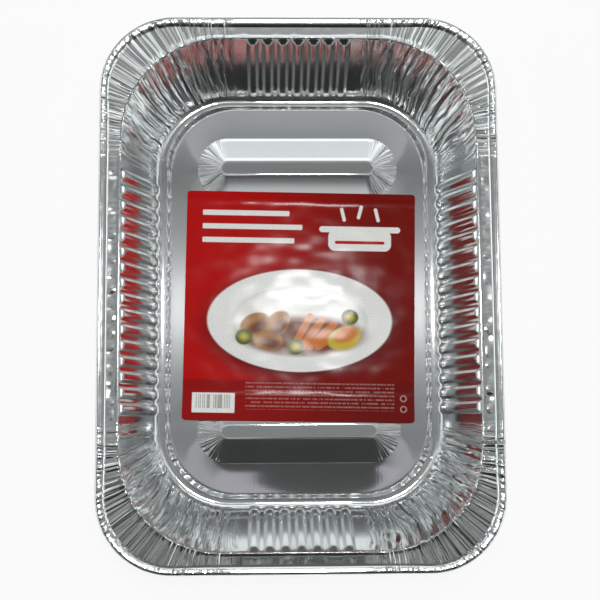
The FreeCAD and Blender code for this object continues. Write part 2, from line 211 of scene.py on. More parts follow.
@dataclass
class Columns:
    """The columns of vertices round the pan: where each stands, and what the foil does there.

    A column on a straight side keeps its place along the side, and one in a corner its share of the turn.
    """

    sizes: PanSizes
    corner_columns: int = 92
    plain_columns: int = 8
    flute_rounding: float = 0.3
    narrowest: float = 0.45
    side: Array = field(init=False)
    along: Array = field(init=False)
    share: Array = field(init=False)
    gathered: Array = field(init=False)
    flute: Array = field(init=False)
    offset: Array = field(init=False)
    round: Array = field(init=False)

    def __post_init__(self) -> None:
        """Lays the columns out side by side and corner by corner."""
        rows = []
        for side in range(4):
            rows += self._side_rows(side)
            rows += self._corner_rows(side)
        table = np.array([row[:6] for row in rows], float)
        self.side, self.along, self.share = table[:, 0], table[:, 1], table[:, 2]
        self.gathered, self.flute, self.offset = table[:, 3] > 0, table[:, 4], table[:, 5]
        place_x, place_y = self.on(self.sizes.mouth)
        step = np.hypot(np.diff(place_x, append=place_x[0]), np.diff(place_y, append=place_y[0]))
        self.round = np.concatenate([[0.0], np.cumsum(step)[:-1]])

    def _side_rows(self, side: int) -> list[tuple]:
        """The columns of one straight side: plain foil, the flutes, and plain foil again.

        Args:
            side: Number of the side, from 0 on the right and round by the far end.

        Returns:
            For each column its side, place along the side, share of a turn, whether it is gathered,
            flute and offset from the flute's middle.
        """
        size = self.sizes
        edge = self.flute_rounding
        half_pitch = size.flute_pitch / 2
        valley = size.crest_half + size.flank
        inside = (size.crest_half - edge, size.crest_half + edge, valley - edge, valley + edge)
        offsets = [-half_pitch] + [-place for place in inside[::-1]] + list(inside)
        count = size.side_flutes if side % 2 == 0 else size.end_flutes
        rows = []
        for flute in range(count):
            middle = (flute - (count - 1) / 2) * size.flute_pitch
            rows += [(side, middle + off, 0.0, 0, flute, off) for off in offsets]
        group_half = count * half_pitch
        rows.append((side, group_half, 0.0, 0, count - 1, half_pitch))
        spare = (size.mouth.half_y if side % 2 == 0 else size.mouth.half_x) - size.mouth.radius - group_half
        plain = [group_half + spare * (i + 1) / self.plain_columns for i in range(self.plain_columns - 1)]
        before = [(side, -place, 0.0, 0, -1, half_pitch) for place in plain[::-1]]
        after = [(side, place, 0.0, 0, -1, half_pitch) for place in plain]
        return before + rows + after

    def _corner_rows(self, corner: int) -> list[tuple]:
        """The columns of one corner, unevenly spaced.

        Args:
            corner: Number of the corner, which follows the side of that number.

        Returns:
            The same values for each column as on a side.
        """
        draw = np.random.default_rng(40 + corner)
        widths = draw.uniform(self.narrowest, 1.0, self.corner_columns)
        shares = np.concatenate([[0.0], np.cumsum(widths)]) / widths.sum()
        return [(corner, 0.0, share, 1, -1, 0.0) for share in shares]

    def group_half(self) -> Array:
        """Half the length of the flutes' group on each column's side."""
        counts = np.where(self.side % 2 == 0, self.sizes.side_flutes, self.sizes.end_flutes)
        return counts * self.sizes.flute_pitch / 2

    def straight_half(self, outline: Outline) -> Array:
        """Half the straight length of an outline, on each column's side."""
        return np.where(self.side % 2 == 0, outline.half_y, outline.half_x) - outline.radius

    def out(self, share: Array | None = None) -> tuple[Array, Array]:
        """The outward direction at each column."""
        turn = np.radians(90.0 * (self.side + (self.share if share is None else share)))
        return np.cos(turn), np.sin(turn)

    def on(self, outline: Outline, slant: Array | float = 0.0) -> tuple[Array, Array]:
        """Where each column crosses an outline.

        Args:
            outline: The outline to cross.
            slant: How far the columns in the corners lean over there, as a share of the turn.

        Returns:
            The places across and along the pan.
        """
        sign_x = np.where((self.side == 0) | (self.side == 3), 1.0, -1.0)
        sign_y = np.where(self.side <= 1, 1.0, -1.0)
        share = self.share + slant * np.sin(np.pi * self.share)
        out_x, out_y = self.out(share)
        corner_x = sign_x * (outline.half_x - outline.radius) + outline.radius * out_x
        corner_y = sign_y * (outline.half_y - outline.radius) + outline.radius * out_y
        long_side = self.side % 2 == 0
        straight = self.straight_half(outline)
        group = self.group_half()
        beyond = np.maximum(np.abs(self.along) - group, 0.0)
        stretch = (straight - group) / (self.straight_half(self.sizes.mouth) - group)
        along = np.sign(self.along) * (np.minimum(np.abs(self.along), group) + beyond * stretch)
        reach = np.where(long_side, outline.half_x, outline.half_y)
        side_x, side_y = np.cos(np.radians(90.0 * self.side)), np.sin(np.radians(90.0 * self.side))
        place_x = np.where(self.gathered, corner_x, reach * side_x - along * side_y)
        place_y = np.where(self.gathered, corner_y, reach * side_y + along * side_x)
        return place_x, place_y


@dataclass
class Gathers:
    """The uneven pleats that take up the spare foil in the corners, worked out column by column."""

    columns: Columns
    wall_stages: tuple[float, ...] = (0.0, 0.45, 0.8, 1.0)
    wall_heights: tuple[float, ...] = (0.0, 0.12, 0.5, 0.85, 1.0)
    wall_depths: tuple[float, ...] = (0.12, 0.6, 0.85, 0.95, 0.4)
    stage_depth: float = 0.75
    steady_depth: float = 0.8
    fine_depth: float = 0.22
    flange_steady: float = 0.26
    flange_loose: float = 0.2
    roll_depth: float = 0.16

    def pattern(self, seed: int, shortest: int, longest: int) -> Array:
        """A row of folds, in and out by turns, for the columns in the corners.

        Args:
            seed: Which of the uneven rows to give.
            shortest: Fewest columns from one fold to the next.
            longest: Most columns from one fold to the next.

        Returns:
            Heights between -1 and 1, one for each column, and 0 on the straight sides.
        """
        columns = self.columns
        heights = np.zeros(len(columns.side))
        for corner in range(4):
            chosen = np.flatnonzero(columns.gathered & (columns.side == corner))
            draw = np.random.default_rng(seed * 10 + corner)
            knots, values, way = [0], [0.0], 1.0
            while knots[-1] < len(chosen) - 1:
                knots.append(knots[-1] + int(draw.integers(shortest, longest + 1)))
                values.append(way * draw.uniform(0.35, 1.0))
                way = -way
            index = np.arange(len(chosen))
            heights[chosen] = np.interp(index, knots, values)
        return heights

    def fade(self, width: float) -> Array:
        """Eases the folds out towards the straight sides.

        Args:
            width: The share of the turn that it takes.

        Returns:
            The folds' strength at each column, and 0 on the straight sides.
        """
        share = self.columns.share
        return np.where(
            self.columns.gathered, smooth(share, 0.0, width) * smooth(1.0 - share, 0.0, width), 0.0
        )

    def on_wall(self, height: float) -> Array:
        """The pleats' offset on the wall. The pattern passes from stage to stage on its way up.

        Args:
            height: The share of the wall's height.

        Returns:
            How far each column stands out, in millimetres.
        """
        stages = self.wall_stages
        depth = np.interp(height, self.wall_heights, self.wall_depths)
        total = np.zeros(len(self.columns.side))
        weights = np.interp(height, stages, np.arange(len(stages)))
        low = min(int(weights), len(stages) - 2)
        share = smooth(weights - low, 0.0, 1.0)
        for stage, weight in ((low, 1.0 - share), (low + 1, share)):
            total += weight * self.pattern(100 + stage, 2, 6)
        steady = self.pattern(7, 2, 5)
        fine = self.pattern(30, 1, 3)
        folds = self.stage_depth * total + self.steady_depth * steady + self.fine_depth * fine
        return depth * folds * self.fade(0.05)

    def on_flange(self, share: float) -> Array:
        """The pleats' height on the flange.

        Args:
            share: The share of the way from the mouth to the roll.

        Returns:
            How high each column stands, in millimetres.
        """
        steady = self.pattern(61, 2, 5)
        inner = self.pattern(62, 1, 4)
        outer = self.pattern(63, 1, 3)
        loose = inner * (1.0 - share) + outer * share
        return (self.flange_steady * steady + self.flange_loose * loose) * self.fade(0.03)

    def on_roll(self, row: int) -> Array:
        """The small crumples of the roll in the corners."""
        return self.roll_depth * self.pattern(80 + row, 1, 3) * self.fade(0.02)


@dataclass
class FoilPan:
    """The pressed pan: one sheet of foil from the floor's edge up over the rim, and the ribbed floor.

    Lengths are in millimetres. Heights on the wall, and the rib's edge, are shares of the whole.
    """

    sizes: PanSizes = PanSizes()
    name: str = "pressed_foil_pan"
    rib_columns: int = 96
    rib_rows: int = 6
    floor_grid: float = 14.0
    rib_edge: float = 0.03
    rib_crease: float = 0.1
    wall_heights: tuple[float, ...] = (
        0.0, 0.02, 0.06, 0.13, 0.21, 0.3, 0.4, 0.5, 0.6, 0.69, 0.77, 0.83, 0.865, 0.89, 0.91, 0.93, 0.95,
        0.97, 0.985, 1.0,
    )
    foot_rise: float = 0.9
    mouth_drop: float = 1.3
    wall_dent: float = 0.35
    lean_middle: float = 0.030
    lean_foot: float = 0.045
    dent_spacing: float = 34.0
    flute_start: float = 0.35
    flute_full: float = 0.05
    flute_ending: float = 0.03
    flange_dent: float = 0.4
    channel_start: float = 2.3
    band_width: float = 7.4
    flange_rows: int = 13
    flange_creasing: float = 0.5
    roll_creasing: float = 0.3
    flange_fineness: float = 1.7
    fan_run: float = 9.0
    fan_spread: float = 34.0
    fan_creasing: float = 0.16
    fan_edge: float = 0.2
    touch: float = 0.02
    smooth_angle: float = 38.0
    columns: Columns = field(init=False)
    gathers: Gathers = field(init=False)

    def __post_init__(self) -> None:
        """Lays out the columns round the pan and their pleats."""
        self.columns = Columns(self.sizes)
        self.gathers = Gathers(self.columns)

    def build(self) -> bpy.types.Object:
        """Builds the pan's mesh with its thickness.

        Returns:
            The finished object, at the origin.
        """
        rings = self._base_rings() + self._wall_rings() + self._flange_rings()
        count = len(self.columns.side)
        vertices = [Vector(point) for ring in rings for point in ring]
        faces = []
        for row in range(len(rings) - 1):
            low, high = row * count, (row + 1) * count
            for i in range(count):
                after = (i + 1) % count
                faces.append((low + i, high + i, high + after, low + after))
        floor_vertices, floor_faces = self._floor(rings[0])
        for face in floor_faces:
            faces.append(tuple(i if i < count else i - count + len(vertices) for i in face))
        vertices += floor_vertices
        mesh = bpy.data.meshes.new(self.name)
        mesh.from_pydata([point * MM for point in vertices], [], faces)
        self._note_creases(mesh, rings)
        pan = bpy.data.objects.new(self.name, mesh)
        bpy.context.scene.collection.objects.link(pan)
        self._thicken(pan)
        self._mark(pan)
        return pan

    def _note_creases(self, mesh: bpy.types.Mesh, rings: list[Array]) -> None:
        """Notes at each vertex how far round and how far up the sheet it is, and how creased the foil is.

        Args:
            mesh: The sheet, before it has its thickness.
            rings: The closed lines of vertices that come first in it.
        """
        count = len(self.columns.side)
        around, up, gathered = (np.zeros(len(mesh.vertices), np.float32) for _ in range(3))
        creased = self._gathering()
        steps = self._steps_up(rings)
        base = len(self._base_rings())
        for row in range(len(rings)):
            chosen = slice(row * count, (row + 1) * count)
            fineness = 1.0 if row - base <= len(self.wall_heights) else self.flange_fineness
            around[chosen] = self.columns.round * fineness
            up[chosen] = steps[row]
            gathered[chosen] = creased * self._creasing(row - base)
        places = np.zeros(len(mesh.vertices) * 3)
        mesh.vertices.foreach_get("co", places)
        x, y, _ = (places.reshape(-1, 3)[len(rings) * count:] / MM).T
        out = self._from_rib(x, y)
        edge = self.fan_edge
        slope = (out > self.sizes.bar_width / 2 + edge) & (out < self.sizes.rib_reach - edge)
        beyond = np.abs(y) - self.sizes.rib_spacing / 2
        around[-len(x):] = np.arctan2(beyond, np.maximum(self._past_bar(x), 0.01)) * self.fan_spread
        up[-len(x):] = out
        gathered[-len(x):] = smooth(self._past_bar(x), 0.0, self.fan_run) * slope * self.fan_creasing
        for name, values in ((AROUND, around), (UP, up), (GATHERED, gathered)):
            mesh.attributes.new(name, "FLOAT", "POINT").data.foreach_set("value", values)

    def _gathering(self) -> Array:
        """How gathered the foil is on its way round.

        Returns:
            1 at the columns of the corners, and less and less towards the flutes.
        """
        columns = self.columns
        straight = columns.straight_half(self.sizes.mouth)
        group = columns.group_half()
        beside = smooth((np.abs(columns.along) - group) / (straight - group), 0.1, 0.9)
        return np.where(columns.gathered, 1.0, beside)

    def _steps_up(self, rings: list[Array]) -> Array:
        """Measures the sheet upwards, on one column of a long side.

        Args:
            rings: The closed lines of vertices, from the floor's edge to the roll.

        Returns:
            How far up the sheet each line is, in millimetres.
        """
        column = len(self.columns.side) // 8
        steps = [np.linalg.norm(high[column] - low[column]) for low, high in zip(rings, rings[1:])]
        return np.concatenate([[0.0], np.cumsum(steps)])

    def _creasing(self, row: int) -> float:
        """How creased the gathered foil is in a row, counted from the wall's foot.

        Args:
            row: Number of the closed line of vertices.

        Returns:
            0 below the wall, 1 on it and less on the flange and the roll.
        """
        if row < 1:
            return 0.0
        if row < len(self.wall_heights):
            return 1.0
        return self.flange_creasing if row < len(self.wall_heights) + self.flange_rows else self.roll_creasing

    def _past_bar(self, x: Array | float) -> Array | float:
        """How far a place lies beyond the straight part of the ribs' bars, along them."""
        return np.maximum(np.abs(x) - self.sizes.bar_half, 0.0)

    def _from_rib(self, x: Array | float, y: Array | float) -> Array | float:
        """How far a place lies from the middle line of the nearer rib."""
        return np.hypot(self._past_bar(x), np.abs(y) - self.sizes.rib_spacing / 2)

    def _ring(self, outline: Outline, z: Array | float, push: Array | float = 0.0,
              lift: Array | float = 0.0, slant: float = 0.0) -> Array:
        """One closed line of vertices.

        Args:
            outline: The line's outline.
            z: Its height.
            push: How far each column stands outwards of it.
            lift: How far each column stands above it.
            slant: How far the columns in the corners lean over there.

        Returns:
            The vertices, one row each.
        """
        x, y = self.columns.on(outline, slant)
        out_x, out_y = self.columns.out()
        height = np.zeros(len(x)) + z + lift
        return np.column_stack([x + out_x * push, y + out_y * push, height])

    def _base_rings(self) -> list[Array]:
        """The slope down from the floor and the gutter, up to the wall's foot.

        Returns:
            The closed lines of vertices, from the floor outwards.
        """
        size = self.sizes
        low = size.gauge
        top = low + size.floor_lift
        rings = [self._ring(size.panel, top), self._ring(size.floor, top)]
        for share in (0.12, 0.3, 0.7, 0.88, 1.0):
            outline = size.floor.blended(size.riser_foot, share)
            drop = np.interp(share, [0.0, 0.12, 0.88, 1.0], [0.0, 0.04, 0.96, 1.0])
            rings.append(self._ring(outline, top - size.floor_lift * float(drop)))
        marks = self.gathers.pattern(11, 3, 9)
        marks = np.where(marks > 0.72, marks - 0.72, 0.0) * self.gathers.fade(0.15)
        for share, rise in ((0.22, 0.0), (0.5, 0.08), (0.78, 0.35)):
            outline = size.riser_foot.blended(size.foot, share)
            rings.append(self._ring(outline, low + rise, lift=marks * 0.5))
        return rings

    def _flutes(self, height: float) -> Array:
        """The flutes' depth.

        Args:
            height: The share of the wall's height.

        Returns:
            How far each column stands in from the wall, in millimetres.
        """
        size, columns = self.sizes, self.columns
        away = np.abs(columns.offset)
        crest = 1.0 - np.clip((away - size.crest_half) / size.flank, 0.0, 1.0)
        foot, top = size.flute_depth_foot, size.flute_depth_top
        depth = np.interp(height, [0.0, self.flute_full, 1.0], [self.flute_start * foot, foot, top])
        ending = np.clip((1.0 - height) / self.flute_ending, 0.0, 1.0)
        return np.where(columns.flute >= 0, crest * depth * ending, 0.0)

    def _wall_rings(self) -> list[Array]:
        """The wall, with flutes in its sides and gathers round its corners.

        Returns:
            The closed lines of vertices, from the foot upwards.
        """
        size = self.sizes
        foot_z, mouth_z = size.gauge + self.foot_rise, size.flange_z - self.mouth_drop
        dents = wander(self.columns.round, self.dent_spacing, 3)
        rings = []
        for height in self.wall_heights:
            bulge = math.sin(math.pi * height)
            outline = size.foot.blended(size.mouth, height)
            push = self.gathers.on_wall(height) - self._flutes(height)
            push = push + self.wall_dent * dents * bulge
            slant = self.lean_middle * bulge + self.lean_foot * (height - 1.0)
            rings.append(self._ring(outline, foot_z + (mouth_z - foot_z) * height, push, slant=slant))
        return rings

    def _reach(self) -> tuple[Array, Array, Array]:
        """Finds the rim from the mouth, by halving.

        Returns:
            Where each column is at the mouth, across and along the pan, and how far out the rim is there.
        """
        x, y = self.columns.on(self.sizes.mouth)
        out_x, out_y = self.columns.out()
        near, far = np.zeros(len(x)), np.full(len(x), self.sizes.rim.radius)
        for _ in range(40):
            middle = (near + far) / 2
            inside = self.sizes.rim.distance(x + out_x * middle, y + out_y * middle) < 0
            near, far = np.where(inside, middle, near), np.where(inside, far, middle)
        return x, y, near

    def _flange_rings(self) -> list[Array]:
        """The lip, the flange's channel with its dimples, the raised outer band and the rolled rim.

        Returns:
            The closed lines of vertices, from the mouth outwards and round the roll.
        """
        size, columns, gathers = self.sizes, self.columns, self.gathers
        x, y, reach = self._reach()
        out_x, out_y = columns.out()
        straight = np.where(columns.gathered, 0.0, np.where(columns.side % 2 == 0, 1.0, 0.3))
        dimples = wander(columns.round, 4.4, 21) + 0.5 * wander(columns.round, 2.3, 22)
        ripple = wander(columns.round, 9.0, 23)
        rings = []

        def ring(place: Array, z: Array | float, lift: Array | float = 0.0) -> None:
            """Adds one closed line at a distance out from the mouth."""
            height = np.zeros(len(x)) + z + lift
            rings.append(np.column_stack([x + out_x * place, y + out_y * place, height]))

        start = self.channel_start
        for out, rise in ((0.45, -0.45), (1.0, 0.12), (1.6, 0.2), (start, -0.05)):
            ring(out, size.flange_z + rise, 0.6 * (out / start) * gathers.on_flange(0.0))
        width = reach - self.band_width - start
        for share in (0.22, 0.42, 0.6, 0.8, 1.0):
            bowl = math.sin(math.pi * min(max(share, 0.08), 0.92))
            lift = gathers.on_flange(share) + straight * (self.flange_dent * dimples * bowl + 0.08 * ripple)
            ring(start + width * share, size.flange_z - 0.1, lift)
        for back, rise in ((6.6, 0.9), (5.4, 1.5), (3.6, 1.75), (2.5, 2.0)):
            lift = np.minimum((0.8 * gathers.on_flange(1.0) + 0.07 * straight * dimples) * (back / 6.6), 0.15)
            ring(reach - back, size.flange_z + rise, lift)
        middle_z = size.height - size.roll_radius
        for row, turn in enumerate((0, 30, 60, 90, 125, 160, 200, 240, 270)):
            angle = math.radians(turn)
            inward = np.abs(gathers.on_roll(row)) + 0.05 * (1.0 + wander(columns.round, 6.0, 50 + row))
            radius = size.roll_radius - inward
            ring(reach - size.roll_radius + radius * math.sin(angle), middle_z + radius * math.cos(angle))
        return rings

    def _rib_height(self, share: Array) -> Array:
        """The rib's slope, a little rounded at both ends.

        Args:
            share: The share of the way up it.

        Returns:
            The height there, in millimetres.
        """
        edge = self.rib_edge
        level = np.interp(share, [0.0, edge, 1.0 - edge, 1.0], [0.0, edge / 2, 1.0 - edge / 2, 1.0])
        return self.sizes.rib_height * level

    def _floor(self, edge: Array) -> tuple[list[Vector], list[Face]]:
        """The floor between its edge and the two ribs.

        Args:
            edge: The vertices of the floor's edge, which come first in the mesh.

        Returns:
            The vertices that follow those of the edge, and the faces, counted from the edge's first vertex.
        """
        size = self.sizes
        top = size.gauge + size.floor_lift
        points = [tuple(point[:2]) for point in edge]
        heights = [top] * len(points)
        loops = [list(range(len(points)))]
        faces = []
        for sign in (1, -1):
            first = len(points)
            rib_points, rib_heights, rib_faces = self._rib(sign * size.rib_spacing / 2, top, first)
            points += rib_points
            heights += rib_heights
            faces += rib_faces
            loops.append(list(range(first, first + self.rib_columns)))
        flat = self._flat_points()
        linked = [(loop[i], loop[(i + 1) % len(loop)]) for loop in loops for i in range(len(loop))]
        used = sorted({i for loop in loops for i in loop})
        order = {index: i for i, index in enumerate(used)}
        start = len(points)
        numbers = used + list(range(start, start + len(flat)))
        points += flat
        heights += [top] * len(flat)
        corners = [Vector(points[i]) for i in numbers]
        edges = [(order[a], order[b]) for a, b in linked]
        found, _, triangles, originals, _, _ = delaunay_2d_cdt(corners, edges, [], 0, 1e-7)
        back = [numbers[min(source)] for source in originals]
        for triangle in triangles:
            middle = sum((found[i] for i in triangle), Vector((0.0, 0.0))) / 3
            if self._on_flat(middle.x, middle.y):
                faces.append(tuple(back[i] for i in triangle))
        faces = [self._upward(face, points) for face in faces]
        vertices = [Vector((points[i][0], points[i][1], heights[i])) for i in range(len(edge), len(points))]
        return vertices, faces

    def _upward(self, face: Face, points: list[Point]) -> Face:
        """Turns a face round if it would look down.

        Args:
            face: Numbers of its corners.
            points: The points that the numbers stand for, seen from above.

        Returns:
            The face, looking up.
        """
        a, b, c = (points[i] for i in face[:3])
        area = (b[0] - a[0]) * (c[1] - a[1]) - (b[1] - a[1]) * (c[0] - a[0])
        return face if area > 0 else face[::-1]

    def _on_flat(self, x: float, y: float, margin: float = 0.0) -> bool:
        """Tells whether a point lies on the flat floor, between its edge and the ribs' slopes.

        Args:
            x: Its place across the pan.
            y: Its place along the pan.
            margin: How far it has to stay clear of the edge and the slopes.

        Returns:
            Whether it lies there.
        """
        inner = self.sizes.panel.grown(-margin)
        inside = float(inner.distance(np.array([x]), np.array([y]))[0]) <= 0.0
        return inside and self._from_rib(x, y) > self.sizes.rib_reach + margin - self.touch

    def _flat_points(self) -> list[Point]:
        """A loose grid of points on the flat floor.

        Returns:
            The points that are clear of the floor's edge and the ribs.
        """
        panel, grid = self.sizes.panel, self.floor_grid
        rows, columns = math.ceil(panel.half_y / grid), math.ceil(panel.half_x / grid)
        found = []
        for row in range(-rows, rows + 1):
            for column in range(-columns, columns + 1):
                x, y = column * grid + (row % 2) * grid / 2, row * grid
                if self._on_flat(x, y, margin=grid / 2):
                    found.append((x, y))
        return found

    def _rib(self, place_y: float, top: float, first: int) -> tuple[list[Point], list[float], list[Face]]:
        """One rib: its slope, creased round the ends, and its flat bar.

        Args:
            place_y: Where the rib's middle line is.
            top: Height of the floor round it.
            first: Number of its first vertex.

        Returns:
            Its points from above, their heights and its faces.
        """
        size, count = self.sizes, self.rib_columns
        half = size.bar_half
        arc = count // 3
        line = count // 2 - arc
        path = []
        for end in (1, -1):
            path += [(math.radians(-90 + 180 * i / arc), end, 0.0) for i in range(arc)]
            path += [(math.radians(90), end, 2 * half * i / line) for i in range(line)]
        draw = np.random.default_rng(5 if place_y > 0 else 6)  # each rib is creased in its own way
        crease = draw.uniform(-1.0, 1.0, count)
        points, heights, faces = [], [], []
        edge = self.rib_edge
        steps = [step / self.rib_rows for step in range(1, self.rib_rows)]
        shares = [0.0, edge] + steps + [1.0 - edge, 1.0, 1.0 + 2.0 * edge]
        for share in shares:
            radius = size.bar_width / 2 + size.skirt_width * (1.0 - share)
            for i, (turn, end, moved) in enumerate(path):
                x = end * (half + radius * math.cos(turn) - moved)
                y = place_y + end * radius * math.sin(turn)
                at_end = max(0.0, math.cos(turn)) if moved == 0.0 else 0.0
                fold = self.rib_crease * crease[i] * at_end * math.sin(math.pi * min(share, 1.0))
                points.append((x, y))
                heights.append(top + float(self._rib_height(share)) + fold)
        for row in range(len(shares) - 1):
            low, high = first + row * count, first + (row + 1) * count
            for i in range(count):
                after = (i + 1) % count
                faces.append((low + i, low + after, high + after, high + i))
        crown = first + (len(shares) - 1) * count
        faces.append(tuple(range(crown, crown + count)))
        return points, heights, faces

    def _thicken(self, pan: bpy.types.Object) -> None:
        """Gives the sheet its thickness downwards and outwards, and rounds its shading.

        Args:
            pan: The sheet.
        """
        bpy.ops.object.select_all(action="DESELECT")
        pan.select_set(True)
        bpy.context.view_layer.objects.active = pan
        solid = pan.modifiers.new("Gauge", "SOLIDIFY")
        solid.thickness = self.sizes.gauge * MM
        solid.offset = -1.0
        solid.use_even_offset = False
        bpy.ops.object.modifier_apply(modifier=solid.name)
        bpy.ops.object.shade_smooth_by_angle(angle=math.radians(self.smooth_angle))

    def _mark(self, pan: bpy.types.Object) -> None:
        """Lays a flat map over the sheet, and marks where the rolled grain is pressed out.

        Args:
            pan: The pan with its thickness.
        """
        size = self.sizes
        mesh = pan.data
        places = np.zeros(len(mesh.vertices) * 3)
        mesh.vertices.foreach_get("co", places)
        x, y, z = (places.reshape(-1, 3) / MM).T
        above = smooth(z, size.floor_lift, 2.0 * size.floor_lift)
        polish = above * (self._from_rib(x, y) > size.rib_reach)
        layer = mesh.attributes.new(POLISH, "FLOAT", "POINT")
        layer.data.foreach_set("value", polish.astype(np.float32))
        corners = np.zeros(len(mesh.loops), int)
        mesh.loops.foreach_get("vertex_index", corners)
        sheet_map = mesh.uv_layers.new(name=SHEET_MAP)
        flat = np.column_stack([x, y])[corners] / size.rim.half_y
        sheet_map.data.foreach_set("uv", flat.astype(np.float32).ravel())


class Net:
    """Short ways to add nodes to one shader tree."""

    def __init__(self, tree: bpy.types.NodeTree) -> None:
        """Takes the tree that the nodes go into."""
        self.tree = tree

    def add(self, kind: str, inputs: dict[str | int, Input] | None = None,
            **settings: object) -> bpy.types.Node:
        """Adds one node.

        Args:
            kind: The node's type.
            inputs: Values or sockets for its inputs, by name or number.
            settings: Its properties.

        Returns:
            The node.
        """
        node = self.tree.nodes.new(kind)
        for name, value in settings.items():
            setattr(node, name, value)
        for name, value in (inputs or {}).items():
            self.feed(node.inputs[name], value)
        return node

    def feed(self, socket: bpy.types.NodeSocket, value: Input) -> None:
        """Links a socket to an input, or sets the input's value."""
        if isinstance(value, bpy.types.NodeSocket):
            self.tree.links.new(value, socket)
        else:
            socket.default_value = value

    def math(self, operation: str, *values: Input) -> bpy.types.NodeSocket:
        """One step of arithmetic."""
        node = self.add("ShaderNodeMath", dict(enumerate(values)), operation=operation)
        return node.outputs["Value"]

    def vector(self, x: Input, y: Input, z: Input = 0.0) -> bpy.types.NodeSocket:
        """A vector put together from its parts."""
        return self.add("ShaderNodeCombineXYZ", {0: x, 1: y, 2: z}).outputs["Vector"]

    def parts(self, vector: bpy.types.NodeSocket) -> bpy.types.NodeOutputs:
        """The parts of a vector."""
        return self.add("ShaderNodeSeparateXYZ", {"Vector": vector}).outputs

    def eased(self, value: Input, low: Input, high: Input, start: float = 0.0,
              end: float = 1.0) -> bpy.types.NodeSocket:
        """Eases a value between two limits.

        Args:
            value: The value.
            low: Where the result leaves its start.
            high: Where the result reaches its end.
            start: The result up to the low limit.
            end: The result from the high limit on.

        Returns:
            The result's socket.
        """
        node = self.add("ShaderNodeMapRange", {
            "Value": value, "From Min": low, "From Max": high, "To Min": start, "To Max": end,
        }, interpolation_type="SMOOTHSTEP")
        return node.outputs["Result"]

    def noise(self, vector: Input, scale: tuple[float, float, float],
              detail: float = 2.0) -> bpy.types.NodeSocket:
        """A noise stretched by a scale.

        Args:
            vector: Where it is read.
            scale: How many times it changes in one unit, each way.
            detail: How many finer noises lie on it.

        Returns:
            The noise's socket, from 0 to 1.
        """
        scaled = self.add("ShaderNodeVectorMath", {0: vector, 1: scale}, operation="MULTIPLY")
        inputs = {"Vector": scaled.outputs["Vector"], "Scale": 1.0, "Detail": detail}
        return self.add("ShaderNodeTexNoise", inputs).outputs["Fac"]

    def length(self, vector: Input) -> bpy.types.NodeSocket:
        """How long a vector is."""
        return self.add("ShaderNodeVectorMath", {0: vector}, operation="LENGTH").outputs["Value"]

    def mixed(self, share: Input, first: Input, second: Input) -> bpy.types.NodeSocket:
        """Mixes two colours.

        Args:
            share: How much of the second there is.
            first: The first colour.
            second: The second colour.

        Returns:
            The mixed colour's socket.
        """
        node = self.add("ShaderNodeMix", data_type="RGBA")
        for name, value in (("Factor", share), ("A", first), ("B", second)):
            self.feed(next(item for item in node.inputs if item.name == name and item.enabled), value)
        return next(item for item in node.outputs if item.enabled)

    def attribute(self, name: str) -> bpy.types.NodeSocket:
        """A value noted on the mesh."""
        return self.add("ShaderNodeAttribute", attribute_name=name).outputs["Fac"]

    def bump(self, height: Input, distance: float, below: Input | None = None) -> bpy.types.NodeSocket:
        """A normal bent by a height.

        Args:
            height: The height, from 0 to 1.
            distance: How high 1 is, in metres.
            below: Another bump that this one lies on.

        Returns:
            The normal's socket.
        """
        inputs = {"Strength": 1.0, "Distance": distance, "Height": height}
        if below is not None:
            inputs["Normal"] = below
        return self.add("ShaderNodeBump", inputs).outputs["Normal"]


